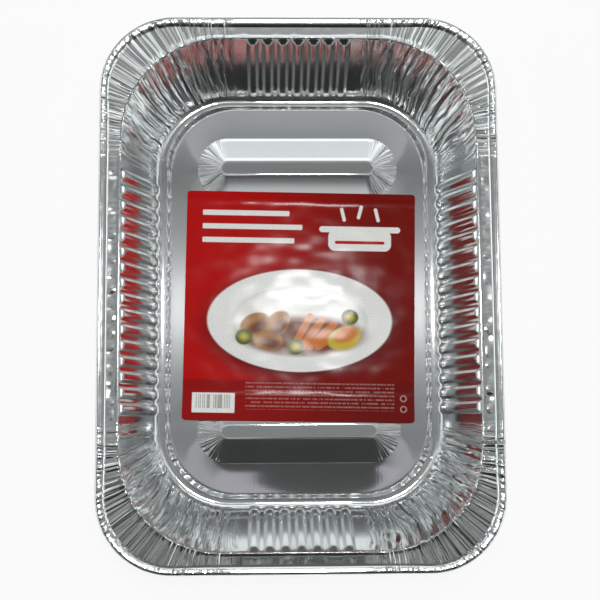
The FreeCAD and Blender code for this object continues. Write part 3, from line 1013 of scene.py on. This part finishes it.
@dataclass(frozen=True)
class BrightFoil:
    """Rolled aluminium foil: part mirror, part brushed along the pan, and finely creased where gathered."""

    name: str = "bright rolled foil"
    colour: Colour = (0.82, 0.84, 0.84, 1.0)
    dull_colour: Colour = (0.74, 0.76, 0.76, 1.0)
    floor_roughness: float = 0.045
    wall_roughness: float = 0.14
    brushed_roughness: float = 0.27
    streak_roughness: float = 0.1
    floor_mirror: float = 0.74
    wall_mirror: float = 0.95
    grain: float = 0.98
    sway: float = 12.0
    fine_share: float = 0.3
    crease_depth: float = 0.0044
    crumple_depth: float = 0.00008
    streak_depth: float = 0.000006

    def material(self) -> bpy.types.Material:
        """The finish as a material."""
        material = bpy.data.materials.new(self.name)
        material.use_nodes = True
        net = Net(material.node_tree)
        place = net.add("ShaderNodeTexCoord").outputs["Object"]
        streaks = net.noise(place, (900.0, 14.0, 60.0), 3.0)
        clouds = net.noise(place, (22.0, 16.0, 20.0), 3.0)
        colour = net.mixed(clouds, self.colour, self.dull_colour)
        normal = self._normal(net, place, streaks)
        across = net.add("ShaderNodeTangent", direction_type="UV_MAP", uv_map=SHEET_MAP).outputs["Tangent"]
        shared = {"Base Color": colour, "Metallic": 1.0, "Normal": normal}
        polish = net.attribute(POLISH)
        mirror = material.node_tree.nodes["Principled BSDF"]
        for name, value in shared.items():
            net.feed(mirror.inputs[name], value)
        roughness = net.eased(polish, 0.0, 1.0, self.floor_roughness, self.wall_roughness)
        net.feed(mirror.inputs["Roughness"], roughness)
        brushed = net.add("ShaderNodeBsdfPrincipled", {
            **shared, "Tangent": across, "Anisotropic": self.grain,
            "Roughness": net.math("MULTIPLY_ADD", streaks, self.streak_roughness, self.brushed_roughness),
        })
        share = net.eased(polish, 0.0, 1.0, self.floor_mirror, self.wall_mirror)
        shaders = {0: share, 1: brushed.outputs["BSDF"], 2: mirror.outputs["BSDF"]}
        mix = net.add("ShaderNodeMixShader", shaders)
        net.feed(material.node_tree.nodes["Material Output"].inputs["Surface"], mix.outputs["Shader"])
        return material

    def _normal(self, net: Net, place: bpy.types.NodeSocket,
                streaks: bpy.types.NodeSocket) -> bpy.types.NodeSocket:
        """The fine relief: rolling lines everywhere, and creases and crumples where the foil is gathered.

        Args:
            net: The material's nodes.
            place: The place on the pan.
            streaks: The rolling lines.

        Returns:
            The bent normal.
        """
        around, up, gathered = (net.attribute(name) for name in (AROUND, UP, GATHERED))
        flat = net.vector(around, up)
        swayed = net.math("MULTIPLY_ADD", net.noise(flat, (0.05, 0.03, 1.0)), self.sway, around)
        leaning = net.vector(swayed, up)
        broad = net.math("ABSOLUTE", net.math("SUBTRACT", net.noise(leaning, (0.19, 0.008, 1.0), 0.0), 0.5))
        fine = net.math("ABSOLUTE", net.math("SUBTRACT", net.noise(leaning, (0.45, 0.013, 2.0), 0.0), 0.5))
        ridge = net.math("MULTIPLY_ADD", fine, self.fine_share, broad)
        patches = net.eased(net.noise(flat, (0.12, 0.014, 1.0), 1.0), 0.3, 0.65, 0.3, 1.0)
        creases = net.math("MULTIPLY", net.math("MULTIPLY", ridge, patches), gathered)
        crumple = net.noise(place, (300.0, 300.0, 300.0), 2.0)
        first = net.bump(streaks, self.streak_depth)
        second = net.bump(net.math("MULTIPLY", crumple, gathered), self.crumple_depth, first)
        return net.bump(creases, self.crease_depth, second)


@dataclass
class PaperLabel:
    """The printed paper that lies in the pan. Lengths are in millimetres.

    Its ends rise with the ribs, a little less steeply: they are 3.5 high over slopes 18.8 wide.
    """

    name: str = "paper_label"
    width: float = 174.5
    length: float = 174.5
    thickness: float = 0.2
    corner: float = 2.5
    shift_x: float = 1.2
    shift_y: float = -5.9
    turn: float = -1.2
    base_z: float = 3.2
    far_bend: float = 79.24
    near_bend: float = -67.44
    slope: float = 0.98 * 3.5 / 18.8
    ease: float = 3.0
    cells: int = 96
    smooth_angle: float = 38.0

    def build(self) -> bpy.types.Object:
        """Builds the label's sheet, bent up over the ribs' slopes.

        Returns:
            The finished object, at the origin.
        """
        places = np.linspace(-1.0, 1.0, self.cells + 1)
        vertices = []
        turn = math.radians(self.turn)
        for v in places:
            for u in places:
                x, y = self._rounded(u * self.width / 2, v * self.length / 2)
                z = self.base_z + self.thickness + self._lift(y)
                vertices.append((
                    (self.shift_x + x * math.cos(turn) - y * math.sin(turn)) * MM,
                    (self.shift_y + x * math.sin(turn) + y * math.cos(turn)) * MM,
                    z * MM,
                ))
        row = self.cells + 1
        faces = [
            (j * row + i, j * row + i + 1, (j + 1) * row + i + 1, (j + 1) * row + i)
            for j in range(self.cells)
            for i in range(self.cells)
        ]
        mesh = bpy.data.meshes.new(self.name)
        mesh.from_pydata(vertices, [], faces)
        label = bpy.data.objects.new(self.name, mesh)
        bpy.context.scene.collection.objects.link(label)
        bpy.ops.object.select_all(action="DESELECT")
        label.select_set(True)
        bpy.context.view_layer.objects.active = label
        solid = label.modifiers.new("Paper", "SOLIDIFY")
        solid.thickness = self.thickness * MM
        solid.offset = -1.0
        bpy.ops.object.modifier_apply(modifier=solid.name)
        bpy.ops.object.shade_smooth_by_angle(angle=math.radians(self.smooth_angle))
        return label

    def _rounded(self, x: float, y: float) -> tuple[float, float]:
        """Draws a point in towards the label's rounded corners.

        Args:
            x: Its place across the sheet.
            y: Its place along the sheet.

        Returns:
            Its new place.
        """
        half_x, half_y = self.width / 2, self.length / 2
        over_x = abs(x) - (half_x - self.corner)
        over_y = abs(y) - (half_y - self.corner)
        if over_x <= 0.0 or over_y <= 0.0:
            return x, y
        far = math.hypot(over_x, over_y)
        share = max(over_x, over_y) / far
        return (
            math.copysign(half_x - self.corner + over_x * share, x),
            math.copysign(half_y - self.corner + over_y * share, y),
        )

    def _lift(self, y: float) -> float:
        """Follows the floor and the ribs' slopes, with the bends eased.

        Args:
            y: The place along the sheet.

        Returns:
            How far the sheet stands off the floor there.
        """
        over = max(y - self.far_bend, self.near_bend - y)
        if over < -self.ease:
            return 0.0
        if over < self.ease:
            return self.slope * (over + self.ease) ** 2 / (4 * self.ease)
        return self.slope * over


class Shape(Enum):
    """The kinds of printed shape."""

    OVAL = "oval"
    BLOCK = "block"
    LINES = "lines"
    BARS = "bars"


@dataclass(frozen=True)
class Mark:
    """One printed shape, in millimetres from the label's middle."""

    shape: Shape
    centre: tuple[float, float]
    half: tuple[float, float]
    colour: Colour
    turn: float = 0.0
    corner: float = 0.0
    soft: float = 0.35


@dataclass(frozen=True)
class GlossyPrint:
    """The label's print on glossy paper: a plate of roast vegetables on red, rules, a pan and small print.
    The red darkens towards the right with painted shade.
    """

    sheet: PaperLabel
    name: str = "glossy print"
    red: Colour = (0.50, 0.0035, 0.0035, 1.0)
    shaded_red: Colour = (0.19, 0.006, 0.003, 1.0)
    # Painted shade: the darker red that the base fades to on the right, where the glossy paper reflects less
    # light.
    dark_red: Colour = (0.13, 0.006, 0.006, 1.0)
    white: Colour = (0.86, 0.86, 0.83, 1.0)
    cream: Colour = (0.66, 0.65, 0.61, 1.0)
    pale_red: Colour = (0.50, 0.27, 0.25, 1.0)
    brown: Colour = (0.17, 0.045, 0.014, 1.0)
    tan: Colour = (0.42, 0.20, 0.06, 1.0)
    orange: Colour = (0.62, 0.17, 0.015, 1.0)
    green: Colour = (0.085, 0.12, 0.012, 1.0)
    yellow: Colour = (0.60, 0.46, 0.045, 1.0)
    black: Colour = (0.01, 0.01, 0.01, 1.0)
    line_pitch: float = 2.9
    bar_pitch: float = 0.62

    def material(self) -> bpy.types.Material:
        """The finish as a material."""
        material = bpy.data.materials.new(self.name)
        material.use_nodes = True
        net = Net(material.node_tree)
        place = net.add("ShaderNodeTexCoord").outputs["Object"]
        local = net.add("ShaderNodeMapping", {
            "Vector": place,
            "Location": (self.sheet.shift_x * MM, self.sheet.shift_y * MM, 0.0),
            "Rotation": (0.0, 0.0, math.radians(self.sheet.turn)),
            "Scale": (MM, MM, MM),
        }, vector_type="TEXTURE").outputs["Vector"]
        # Painted shade: the base red darkens from left to right, where the glossy paper reflects less light.
        fade = net.eased(net.parts(local)["X"], -70.0, 70.0)
        colour = net.mixed(fade, self.red, self.shaded_red)
        groups = {shape: self._mask_group(shape) for shape in Shape}
        for mark in (*self._plate(), *self._vegetables(), *self._titles(), *self._strip()):
            mask = net.add("ShaderNodeGroup", node_tree=groups[mark.shape])
            values = {"Vector": local, "Centre": (*mark.centre, 0.0), "Half": (*mark.half, 1.0),
                      "Turn": math.radians(mark.turn), "Corner": mark.corner, "Soft": mark.soft}
            for name, value in values.items():
                net.feed(mask.inputs[name], value)
            colour = net.mixed(mask.outputs["Mask"], colour, mark.colour)
        grain = net.noise(local, (0.9, 0.9, 0.9), 3.0)
        colour = net.mixed(net.eased(grain, 0.2, 0.8, 0.0, 0.16), colour, self.black)
        waves = net.noise(local, (0.035, 0.05, 0.05), 1.0)
        shader = material.node_tree.nodes["Principled BSDF"]
        for name, value in {
            "Base Color": colour, "Roughness": 0.6, "Specular IOR Level": 0.0, "Coat Weight": 0.24,
            "Coat Roughness": 0.12, "Coat IOR": 1.5, "Coat Normal": net.bump(waves, 0.0006),
        }.items():
            net.feed(shader.inputs[name], value)
        return material

    def _plate(self) -> tuple[Mark, ...]:
        """A white oval plate with its shadow and its well.

        Returns:
            The shapes, in the order of printing.
        """
        return (
            Mark(Shape.OVAL, (2.0, -15.0), (73.0, 41.0), self.dark_red, soft=9.0),
            Mark(Shape.OVAL, (0.0, -11.0), (70.0, 39.0), self.white, soft=0.6),
            Mark(Shape.OVAL, (0.0, -12.0), (51.0, 26.5), self.cream, soft=1.6),
            Mark(Shape.OVAL, (0.0, -11.0), (49.5, 25.0), self.white, soft=1.2),
        )

    def _vegetables(self) -> tuple[Mark, ...]:
        """Roast roots, carrot sticks, sprouts and a slice of squash on gravy, as plain shapes.

        Returns:
            The shapes, in the order of printing.
        """
        roots = tuple(
            Mark(Shape.OVAL, centre, (11.5, 8.0), self.tan, turn, soft=0.8)
            for centre, turn in (((-34.0, -14.0), 25.0), ((-24.0, -26.0), -10.0), ((-17.0, -14.0), 50.0))
        )
        roasted = tuple(
            Mark(Shape.OVAL, (root.centre[0] + 2.0, root.centre[1] - 2.5), (7.5, 4.0), self.brown, root.turn,
                 soft=2.0)
            for root in roots
        )
        sticks = tuple(
            Mark(Shape.BLOCK, (2.0 + 7.5 * step, -19.0 - 1.5 * step), (15.0, 2.7), self.orange,
                 62.0 - 9.0 * step, corner=2.7)
            for step in range(4)
        )
        sprouts = tuple(
            Mark(Shape.OVAL, centre, (6.5, 6.0), self.green, soft=0.7)
            for centre in ((-3.0, -31.0), (-42.0, -24.0), (38.0, -8.0))
        )
        hearts = tuple(
            Mark(Shape.OVAL, sprout.centre, (3.0, 2.6), self.yellow, soft=2.4) for sprout in sprouts
        )
        return (
            Mark(Shape.OVAL, (1.0, -22.0), (47.0, 15.0), self.brown, soft=3.0),
            *roots, *roasted, *sticks, *sprouts, *hearts,
            Mark(Shape.OVAL, (34.0, -24.0), (13.0, 8.5), self.yellow, 20.0, soft=0.8),
            Mark(Shape.OVAL, (35.0, -21.5), (9.5, 5.2), self.orange, 20.0, soft=1.6),
        )

    def _titles(self) -> tuple[Mark, ...]:
        """Three rules on the left, and a steaming pan on the right.

        Returns:
            The shapes, in the order of printing.
        """
        rules = tuple(
            Mark(Shape.BLOCK, (-75.0 + half, height), (half, 2.0), self.white, corner=0.8)
            for half, height in ((33.0, 71.0), (38.0, 60.5), (35.0, 50.0))
        )
        steam = tuple(
            Mark(Shape.BLOCK, (x, height), (1.3, 5.5), self.white, lean, 1.3)
            for x, height, lean in ((32.0, 71.0, 14.0), (45.0, 73.0, -14.0), (58.0, 71.0, 14.0))
        )
        return (
            *rules, *steam,
            Mark(Shape.BLOCK, (45.0, 59.5), (31.0, 2.3), self.white, corner=2.3),
            Mark(Shape.BLOCK, (45.0, 51.0), (24.0, 8.0), self.white, corner=5.0),
            Mark(Shape.BLOCK, (45.0, 49.5), (19.0, 1.2), self.red, corner=1.2),
        )

    def _strip(self) -> tuple[Mark, ...]:
        """The dark strip with pale lines, a white box of uneven bars and two rings.

        Returns:
            The shapes, in the order of printing.
        """
        rings = tuple(
            Mark(Shape.OVAL, (79.0, height), (2.6, 2.6), self.pale_red) for height in (-69.0, -77.0)
        )
        holes = tuple(Mark(Shape.OVAL, ring.centre, (1.7, 1.7), self.dark_red) for ring in rings)
        return (
            Mark(Shape.BLOCK, (0.0, -72.5), (90.0, 15.0), self.dark_red, soft=2.0),
            Mark(Shape.LINES, (16.0, -68.0), (56.0, 10.5), self.pale_red),
            Mark(Shape.BLOCK, (-64.0, -74.0), (16.0, 7.5), self.white, corner=0.5),
            Mark(Shape.BARS, (-64.0, -73.0), (13.0, 5.0), self.black),
            *rings, *holes,
        )

    def _mask_group(self, shape: Shape) -> bpy.types.NodeTree:
        """Makes the node group of one kind of shape.

        Args:
            shape: The kind.

        Returns:
            A group that gives 1 inside the shape and 0 outside it.
        """
        tree = bpy.data.node_groups.new(f"{shape.value} mask", "ShaderNodeTree")
        for name in ("Vector", "Centre", "Half"):
            tree.interface.new_socket(name, in_out="INPUT", socket_type="NodeSocketVector")
        for name in ("Turn", "Corner", "Soft"):
            tree.interface.new_socket(name, in_out="INPUT", socket_type="NodeSocketFloat")
        tree.interface.new_socket("Mask", in_out="OUTPUT", socket_type="NodeSocketFloat")
        net = Net(tree)
        given = net.add("NodeGroupInput").outputs
        ends = {0: given["Vector"], 1: given["Centre"]}
        moved = net.add("ShaderNodeVectorMath", ends, operation="SUBTRACT")
        back = net.math("MULTIPLY", given["Turn"], -1.0)
        turned = net.add("ShaderNodeVectorRotate", {"Vector": moved.outputs["Vector"], "Angle": back},
                         rotation_type="Z_AXIS").outputs["Vector"]
        x, y = net.parts(turned)["X"], net.parts(turned)["Y"]
        half = net.parts(given["Half"])
        if shape is Shape.OVAL:
            far = net.length(net.vector(net.math("DIVIDE", x, half["X"]), net.math("DIVIDE", y, half["Y"])))
            outside = net.math("MULTIPLY", net.math("SUBTRACT", far, 1.0), half["Y"])
        else:
            over = []
            for place, reach in ((x, half["X"]), (y, half["Y"])):
                past = net.math("SUBTRACT", net.math("ABSOLUTE", place), reach)
                over.append(net.math("MAXIMUM", net.math("ADD", past, given["Corner"]), 0.0))
            outside = net.math("SUBTRACT", net.length(net.vector(*over)), given["Corner"])
        inner = net.math("MULTIPLY", given["Soft"], -1.0)
        edge = net.eased(outside, inner, given["Soft"], 1.0, 0.0)
        mask = net.math("MULTIPLY", edge, self._pattern(net, shape, x, y))
        net.add("NodeGroupOutput", {"Mask": mask})
        return tree

    def _pattern(self, net: Net, shape: Shape, x: bpy.types.NodeSocket, y: bpy.types.NodeSocket) -> Input:
        """What a shape is filled with: plain ink, rows of dashes, or bars.

        Args:
            net: The mask's nodes.
            shape: The kind of shape.
            x: The place across the shape.
            y: The place along the shape.

        Returns:
            1 where there is ink and 0 where there is none.
        """
        if shape is Shape.LINES:
            row = net.math("DIVIDE", y, self.line_pitch)
            inked = net.math("LESS_THAN", net.math("FRACT", row), 0.42)
            words = net.noise(net.vector(x, net.math("FLOOR", row)), (0.9, 7.3, 1.0), 0.0)
            return net.math("MULTIPLY", inked, net.math("GREATER_THAN", words, 0.41))
        if shape is Shape.BARS:
            step = net.math("FLOOR", net.math("DIVIDE", x, self.bar_pitch))
            drawn = net.add("ShaderNodeTexWhiteNoise", {"W": step}, noise_dimensions="1D").outputs["Value"]
            return net.math("GREATER_THAN", drawn, 0.5)
        return 1.0


@dataclass(frozen=True)
class Block:
    """A patch of the room near the zenith. Its place is the direction looked in, along X and Y."""

    centre: Point
    half: Point
    colour: Colour
    rounded: bool = False


@dataclass(frozen=True)
class Studio:
    """The floor, the light and the camera.

    The room's levels are pairs of a place and a grey level: by Y for most of it, and by the distance from the
    middle along X at its sides.
    """

    camera_place: tuple[float, float, float] = (-0.0225, -0.1073, 0.9234)
    camera_turn: tuple[float, float, float] = (0.1149, -0.0251, -0.0068)
    focal_length: float = 73.2
    floor_size: float = 6.0
    floor_colour: Colour = (0.86, 0.86, 0.86, 1.0)
    seen_glow: float = 0.88
    lit_glow: float = 0.44
    floor_drop: float = 0.0003
    room: tuple[Point, ...] = (
        (-1.0, 0.02), (-0.6, 0.02), (-0.21, 0.03), (-0.19, 0.75), (-0.155, 0.75), (-0.135, 0.1),
        (-0.1, 0.14), (-0.06, 0.40), (-0.02, 0.42), (-0.01, 0.2), (0.05, 0.22), (0.15, 0.22), (0.19, 0.24),
        (0.21, 0.15), (0.23, 0.2), (0.25, 0.45), (0.29, 0.4), (0.33, 0.3), (0.4, 0.5), (0.47, 1.3),
        (0.54, 1.5), (0.57, 0.9), (0.68, 0.6), (0.8, 0.12), (1.0, 0.12),
    )
    side_room: tuple[Point, ...] = (
        (0.0, 0.4), (0.5, 0.4), (0.58, 0.1), (0.72, 0.14), (0.78, 0.3), (0.83, 1.6), (0.93, 1.6), (0.97, 0.3),
    )
    pale: Colour = (0.50, 0.47, 0.53, 1.0)
    shade: Colour = (0.007, 0.007, 0.007, 1.0)
    white: Colour = (1.0, 1.0, 1.0, 1.0)

    def build(self) -> None:
        """Makes the whole setting."""
        bpy.context.scene.view_settings.view_transform = "Standard"
        self._camera()
        self._floor()
        self._world()
        self._lamp("overhead lamp", (0.062, 0.19, 1.8), (0.19, 0.12), 4.8)
        fill = self._lamp("soft fill", (0.0, 0.1, 1.5), (1.2, 1.2), 9.0)
        fill.visible_glossy = False

    def _camera(self) -> None:
        """The camera, almost straight above the pan."""
        data = bpy.data.cameras.new("camera")
        data.sensor_width = 36.0
        data.lens = self.focal_length
        camera = bpy.data.objects.new("camera", data)
        camera.location = self.camera_place
        camera.rotation_euler = self.camera_turn
        bpy.context.scene.collection.objects.link(camera)
        bpy.context.scene.camera = camera

    def _floor(self) -> None:
        """The pale floor. It looks white and keeps a faint shadow."""
        bpy.ops.mesh.primitive_plane_add(size=self.floor_size, location=(0.0, 0.0, -self.floor_drop))
        floor = bpy.context.object
        floor.name = "studio_floor"
        material = bpy.data.materials.new("pale floor")
        material.use_nodes = True
        material.node_tree.nodes.clear()
        net = Net(material.node_tree)
        matt = net.add("ShaderNodeBsdfDiffuse", {"Color": self.floor_colour})
        glow = net.add("ShaderNodeEmission", {"Strength": 1.0})
        seen = net.add("ShaderNodeLightPath").outputs["Is Camera Ray"]
        share = net.math("MULTIPLY_ADD", seen, self.seen_glow - self.lit_glow, self.lit_glow)
        mix = net.add("ShaderNodeMixShader", {0: share, 1: matt.outputs["BSDF"], 2: glow.outputs["Emission"]})
        net.add("ShaderNodeOutputMaterial", {"Surface": mix.outputs["Shader"]})
        floor.data.materials.append(material)

    def _world(self) -> None:
        """A soft room: bright towards the pan's far end, grey at the sides and dark near the camera."""
        world = bpy.data.worlds.new("soft room")
        bpy.context.scene.world = world
        world.use_nodes = True
        net = Net(world.node_tree)
        way = net.parts(net.add("ShaderNodeTexCoord").outputs["Generated"])
        across = net.math("ABSOLUTE", way["X"])
        along = self._levels(net, way["Y"], self.room)
        room = net.mixed(net.eased(across, 0.3, 0.65), along, self._levels(net, across, self.side_room))
        for block in (
            Block((0.035, -0.0655), (0.088, 0.0245), self.pale),
            Block((0.044, -0.078), (0.056, 0.045), self.shade, rounded=True),
            Block((0.03, -0.1315), (0.17, 0.0385), self.shade),
        ):
            room = net.mixed(self._beyond(net, way, block), block.colour, room)
        seen = net.add("ShaderNodeLightPath").outputs["Is Camera Ray"]
        net.feed(world.node_tree.nodes["Background"].inputs["Color"], net.mixed(seen, room, self.white))

    def _beyond(self, net: Net, way: bpy.types.NodeOutputs, block: Block) -> bpy.types.NodeSocket:
        """Masks a block of the room.

        Args:
            net: The room's nodes.
            way: The parts of the direction looked in.
            block: The block.

        Returns:
            A socket that is 0 inside the block and 1 outside it.
        """
        off_x = net.math("DIVIDE", net.math("SUBTRACT", way["X"], block.centre[0]), block.half[0])
        off_y = net.math("DIVIDE", net.math("SUBTRACT", way["Y"], block.centre[1]), block.half[1])
        if block.rounded:
            return net.eased(net.length(net.vector(off_x, off_y)), 0.93, 1.07)
        reach = net.math("MAXIMUM", net.math("ABSOLUTE", off_x), net.math("ABSOLUTE", off_y))
        return net.eased(reach, 0.93, 1.07)

    def _levels(self, net: Net, place: bpy.types.NodeSocket,
                levels: tuple[Point, ...]) -> bpy.types.NodeSocket:
        """Grey levels by a place.

        Args:
            net: The room's nodes.
            place: The place, between -1 and 1.
            levels: Pairs of a place and its level, in order.

        Returns:
            The grey's socket.
        """
        ramp = net.add("ShaderNodeValToRGB", {"Fac": net.math("MULTIPLY_ADD", place, 0.5, 0.5)})
        stops = ramp.color_ramp.elements
        for index, (where, level) in enumerate(levels):
            share = (where + 1.0) / 2.0
            stop = stops[index] if index < 2 else stops.new(share)
            stop.position = share
            stop.color = (level * 0.97, level, level, 1.0)
        return ramp.outputs["Color"]

    def _lamp(self, name: str, place: tuple[float, float, float], size: Point,
              power: float) -> bpy.types.Object:
        """One flat lamp that looks straight down.

        Args:
            name: Its name.
            place: Where it hangs, in metres.
            size: Its width and length, in metres.
            power: Its power in watts.

        Returns:
            The lamp.
        """
        data = bpy.data.lights.new(name, "AREA")
        data.shape = "RECTANGLE"
        data.size, data.size_y = size
        data.energy = power
        lamp = bpy.data.objects.new(name, data)
        lamp.location = place
        bpy.context.scene.collection.objects.link(lamp)
        return lamp


def dress(piece: bpy.types.Object, node: str, material: bpy.types.Material) -> None:
    """Gives a piece its finish and puts it in the place of its solid.

    Args:
        piece: The finished object.
        node: The solid that it stands for.
        material: Its finish.
    """
    piece.data.materials.clear()
    piece.data.materials.append(material)
    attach(piece, BODY)
    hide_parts(node)
    LOG.info("%s: %d faces", piece.name, len(piece.data.polygons))


def main() -> None:
    """Builds the pan, its label and the setting."""
    logging.basicConfig(level=logging.INFO, format="%(message)s")
    dress(FoilPan().build(), "foil_pan", BrightFoil().material())
    label = PaperLabel()
    dress(label.build(), "label", GlossyPrint(label).material())
    Studio().build()


if __name__ == "__main__":
    main()
